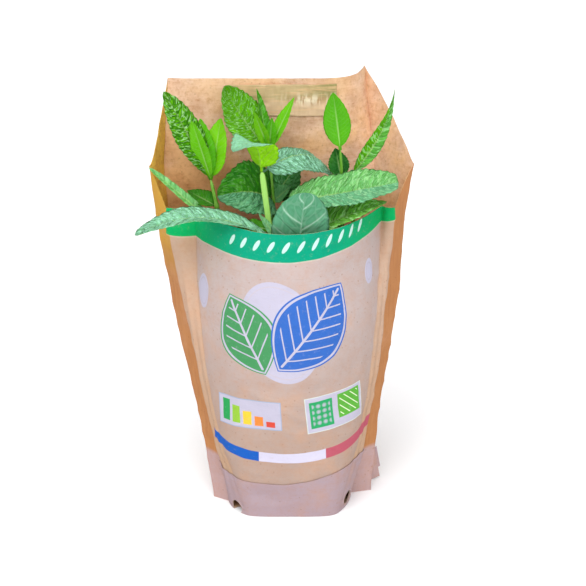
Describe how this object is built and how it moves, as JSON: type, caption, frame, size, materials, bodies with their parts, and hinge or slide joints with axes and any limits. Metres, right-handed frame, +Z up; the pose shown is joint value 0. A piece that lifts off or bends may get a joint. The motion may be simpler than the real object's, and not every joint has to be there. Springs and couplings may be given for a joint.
{
  "type": "potted mint plant",
  "caption": "Leafy mint plant in a round nursery pot, standing in a tapered kraft paper carrier bag that is cut low in front and tall behind.",
  "frame": {"origin": "middle of the bag's flat base, on the surface it stands on", "axes": "+Z up, -Y towards the printed front, +X to the right of somebody who looks at the front"},
  "size_m": [0.1677, 0.1132, 0.2676],
  "materials": {
    "kraft_paper": "uncoated brown kraft, creased, printed",
    "cloudy_film": "thin crinkled film",
    "pot_plastic": "thin satin plastic",
    "compost": "moist and crumbly",
    "mint": "quilted leaves with a soft sheen"
  },
  "bodies": {
    "root": {"paper_bag": "kraft_paper", "film_strip": "cloudy_film", "nursery_pot": "pot_plastic", "compost": "compost", "mint_shoot_left": "mint", "mint_shoot_back": "mint", "mint_shoot_middle": "mint", "mint_shoot_upright": "mint", "mint_shoot_right": "mint", "mint_shoot_spreading": "mint", "mint_shoot_front": "mint"}
  },
  "joints": []
}
